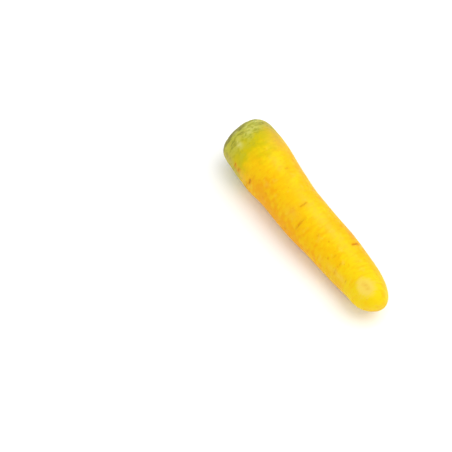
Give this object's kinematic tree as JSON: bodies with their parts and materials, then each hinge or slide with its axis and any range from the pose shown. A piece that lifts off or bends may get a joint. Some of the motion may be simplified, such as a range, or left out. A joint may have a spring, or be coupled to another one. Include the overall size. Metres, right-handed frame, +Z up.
{
  "type": "carrot",
  "caption": "Topped yellow carrot lying on its side: thick tapering root with a green shoulder, a sunken crown and a blunt, bent tail.",
  "frame": {"origin": "under the middle of the carrot's box, on the surface it lies on", "axes": "+X from the crown towards the tail, +Z up from the surface, +Y towards the side turned away from the camera"},
  "size_m": [0.1676, 0.0382, 0.0381],
  "materials": {
    "carrot_skin": "smooth, faintly waxy yellow skin with a dull sheen, olive green at the crown"
  },
  "bodies": {
    "root": {"carrot_root": "carrot_skin"}
  },
  "joints": []
}
